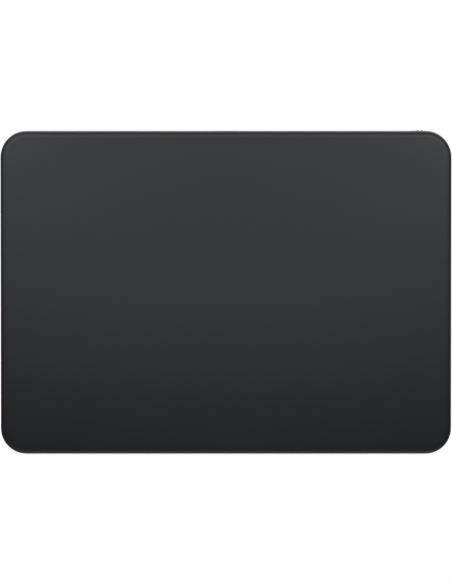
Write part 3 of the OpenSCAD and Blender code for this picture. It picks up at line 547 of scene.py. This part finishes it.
def wound_coil(node):
    turns = 20
    per_turn = 6
    steps = 8
    groove = 0.8
    bend_share = 0.9
    hole_r = 0.00015
    hole_w = TOOTH_W + 2 * COIL_GAP
    hole_h = CORE_T + 2 * COIL_GAP
    low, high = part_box(node)
    size = high - low
    middle = (low + high) / 2
    wire_r = size.y / turns / 2
    bend_r = bend_share * size.z / 2
    place = Matrix.Translation(middle) @ Matrix.Rotation(QUARTER_TURN, 4, "X")
    rings = turns * per_turn
    bm = bmesh.new()
    loops = []
    for i in range(rings + 1):
        dip = groove * wire_r * (1 - abs(math.sin(math.pi * i / per_turn)))
        along = size.y * (i / rings - 0.5)
        points = rounded_loop(size.x - 2 * dip, size.z - 2 * dip, bend_r - dip, along, steps)
        loops.append(add_loop(bm, points, place))
    for end in (size.y / 2, -size.y / 2):
        loops.append(add_loop(bm, rounded_loop(hole_w, hole_h, hole_r, end, steps), place))
    for i, (one, other) in enumerate(zip(loops, loops[1:] + loops[:1])):
        bridge(bm, one, other, smooth=i < rings)
    obj = make_object(node.replace("coil", "winding"), bm)
    give_finish(obj, "copper_winding")
    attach(obj, "case")
    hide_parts(node)


touch_surface()
dust_ring()
gel_cushions()
for place_name in ("left", "centre", "right"):
    wound_coil(f"haptic_coil_{place_name}")
for side_name, side in (("left", -1), ("right", 1)):
    bent_copy(f"gauge_films_{side_name}", "strain_gauges", side, "gauge_film", only_side=True)
    for end_name in ("front", "rear"):
        bent_copy(f"spring_{end_name}_{side_name}", f"flexure_{end_name}_{side_name}", side, "spring_steel")


# Small broken edges on rigid solids and feet, outside and inside

def break_edges(node, width, steps):
    obj = nodes[node]
    bevel = obj.modifiers.new("broken_edges", "BEVEL")
    bevel.width = width
    bevel.segments = steps
    bevel.limit_method = "ANGLE"
    bevel.angle_limit = SHARP_ANGLE
    bevel.harden_normals = False
    smooth = obj.modifiers.new("even_normals", "WEIGHTED_NORMAL")
    smooth.keep_sharp = False


# Width of the broken edge, its steps, and the solids that have it
BROKEN_EDGES = (
    (0.00012, 2, ("enclosure",)),
    (0.00015, 2, ("bottom_cover",)),
    (0.00012, 3, ("power_knob",)),
    (0.00008, 3, ("port_shell",)),
    (0.00006, 2, ("port_tongue",)),
    (0.00012, 3, ("foot_front_left", "foot_front_right", "foot_rear_left", "foot_rear_right")),
    (0.0006, 4, ("battery_cell",)),
    (0.00006, 2, ("processor_chip", "power_chip", "touch_chips")),
    (0.00006, 2, ("haptic_core", "armature_bar", "switch_slider")),
    (0.0001, 2, ("board_connectors", "sensor_connector", "switch_housing")),
    (0.0001, 2, ("antenna_carrier", "radio_shield")),
)
for edge_w, edge_steps, edge_nodes in BROKEN_EDGES:
    for edge_node in edge_nodes:
        break_edges(edge_node, edge_w, edge_steps)


# Studio: a pale floor that runs up into a far backdrop

def floor_material():
    """White to the eye and in reflections, and grey to other light, so that the object's shadow stays."""
    grey = (0.25, 0.25, 0.25, 1)
    white = (1, 1, 1, 1)
    roughness = 0.9
    glow = 0.92
    material = bpy.data.materials.new("pale_floor")
    material.use_nodes = True
    tree = material.node_tree
    shader = tree.nodes["Principled BSDF"]
    shader.inputs["Base Color"].default_value = grey
    shader.inputs["Roughness"].default_value = roughness
    shader.inputs["Specular IOR Level"].default_value = 0.0
    path = tree.nodes.new("ShaderNodeLightPath")
    seen = path.outputs["Is Camera Ray"]
    for name in ("Is Glossy Ray", "Is Transmission Ray"):
        either = tree.nodes.new("ShaderNodeMath")
        either.operation = "MAXIMUM"
        tree.links.new(seen, either.inputs[0])
        tree.links.new(path.outputs[name], either.inputs[1])
        seen = either.outputs["Value"]
    level = tree.nodes.new("ShaderNodeMath")
    level.operation = "MULTIPLY"
    level.inputs[1].default_value = glow
    tree.links.new(seen, level.inputs[0])
    tree.links.new(level.outputs["Value"], shader.inputs["Emission Strength"])
    shader.inputs["Emission Color"].default_value = white
    return material


def studio_floor():
    inner_r = 1.0
    flat_r = 8.0
    bend_r = 1.5
    top_z = 4.0
    floor_z = -0.00005
    steps = 12
    turns = 64
    profile = [(inner_r, floor_z), (flat_r, floor_z)]
    for i in range(1, steps + 1):
        a = QUARTER_TURN * i / steps
        profile.append((flat_r + bend_r * math.sin(a), floor_z + bend_r * (1 - math.cos(a))))
    profile.append((flat_r + bend_r, top_z))
    angles = [FULL_TURN * i / turns for i in range(turns)]
    bm = bmesh.new()
    centre = bm.verts.new((0, 0, floor_z))
    loops = []
    for r, z in profile:
        loops.append([bm.verts.new((r * math.cos(a), r * math.sin(a), z)) for a in angles])
    for i in range(turns):
        face = bm.faces.new((centre, loops[0][i], loops[0][(i + 1) % turns]))
        face.smooth = True
    for low, high in zip(loops, loops[1:]):
        bridge(bm, low, high)
    obj = make_object("studio_floor", bm)
    obj.data.materials.append(floor_material())


def soft_box(name, centre, aim, across, along, radiance):
    """A soft box with that even radiance over its face."""
    light = bpy.data.lights.new(name, "AREA")
    light.shape = "RECTANGLE"
    light.size = across
    light.size_y = along
    light.energy = radiance * math.pi * across * along
    obj = bpy.data.objects.new(name, light)
    obj.location = centre
    obj.rotation_euler = (Vector(aim) - Vector(centre)).to_track_quat("-Z", "Y").to_euler()
    obj.visible_camera = False
    bpy.context.scene.collection.objects.link(obj)


def level_box(name, x_range, y_range, z, radiance):
    """A soft box that lies level over the object and shines straight down."""
    x = sum(x_range) / 2
    y = sum(y_range) / 2
    soft_box(name, (x, y, z), (x, y, 0), x_range[1] - x_range[0], y_range[1] - y_range[0], radiance)


def leaning_box(name, away, rise, across, along, radiance):
    """A soft box that faces the object from behind, or from in front where away is below zero."""
    angle = math.radians(rise)
    spot = (0, away * math.cos(angle), abs(away) * math.sin(angle))
    soft_box(name, spot, (0, 0, 0), across, along, radiance)


# Edges and heights that the soft boxes share, in metres
FRONT_Y = (-0.0488, 0.0095)
REAR_Y = (0.0095, 0.2271)
STRIP_Y = (0.0691, 0.0858)
SIDE_Y = (0.0295, 0.0998)
SIDE_IN = 0.0887
SIDE_OUT = 0.1196
SIDE_RADIANCE = 5.895
OVERHEAD_Z = 0.160
MIDDLE_Z = 0.165
STRIP_Z = 0.170

studio_floor()
level_box("overhead_front", (-0.190, 0.190), FRONT_Y, OVERHEAD_Z, radiance=0.797)
level_box("overhead_middle", (-0.0775, 0.0775), FRONT_Y, MIDDLE_Z, radiance=0.479)
level_box("overhead_rear", (-0.230, 0.230), REAR_Y, OVERHEAD_Z, radiance=0.4285)
level_box("strip_rear", (-SIDE_IN, SIDE_IN), STRIP_Y, STRIP_Z, radiance=4.80)
level_box("strip_left", (-SIDE_OUT, -SIDE_IN), SIDE_Y, STRIP_Z, radiance=SIDE_RADIANCE)
level_box("strip_right", (SIDE_IN, SIDE_OUT), SIDE_Y, STRIP_Z, radiance=SIDE_RADIANCE)
leaning_box("front_panel", away=-0.681, rise=36.45, across=0.6, along=0.257, radiance=1.88)
leaning_box("rear_panel", away=0.600, rise=32.0, across=1.0, along=0.19, radiance=0.9)

WORLD_COLOUR = (1, 1, 1, 1)
WORLD_LEVEL = 0.04
world = bpy.data.worlds.new("studio")
world.use_nodes = True
background = world.node_tree.nodes["Background"]
background.inputs["Color"].default_value = WORLD_COLOUR
background.inputs["Strength"].default_value = WORLD_LEVEL
bpy.context.scene.world = world

# Camera: far above, leaning a little to the rear
LEAN = math.radians(3.4)
DISTANCE = 5.0
FRAME_H = 0.20737
SENSOR_W = 36.0
CLIP_END = 100.0
AIM = Vector((0.00002, 0.0004, MID_H))
camera_data = bpy.data.cameras.new("camera")
camera_data.sensor_width = SENSOR_W
camera_data.lens = SENSOR_W * DISTANCE / FRAME_H
camera_data.clip_end = CLIP_END
camera = bpy.data.objects.new("camera", camera_data)
back = Vector((0, math.sin(LEAN), math.cos(LEAN)))
camera.location = AIM + back * DISTANCE
camera.rotation_euler = Matrix.Rotation(-LEAN, 4, "X").to_euler()
bpy.context.scene.collection.objects.link(camera)
bpy.context.scene.camera = camera

bpy.context.scene.view_settings.view_transform = "Standard"
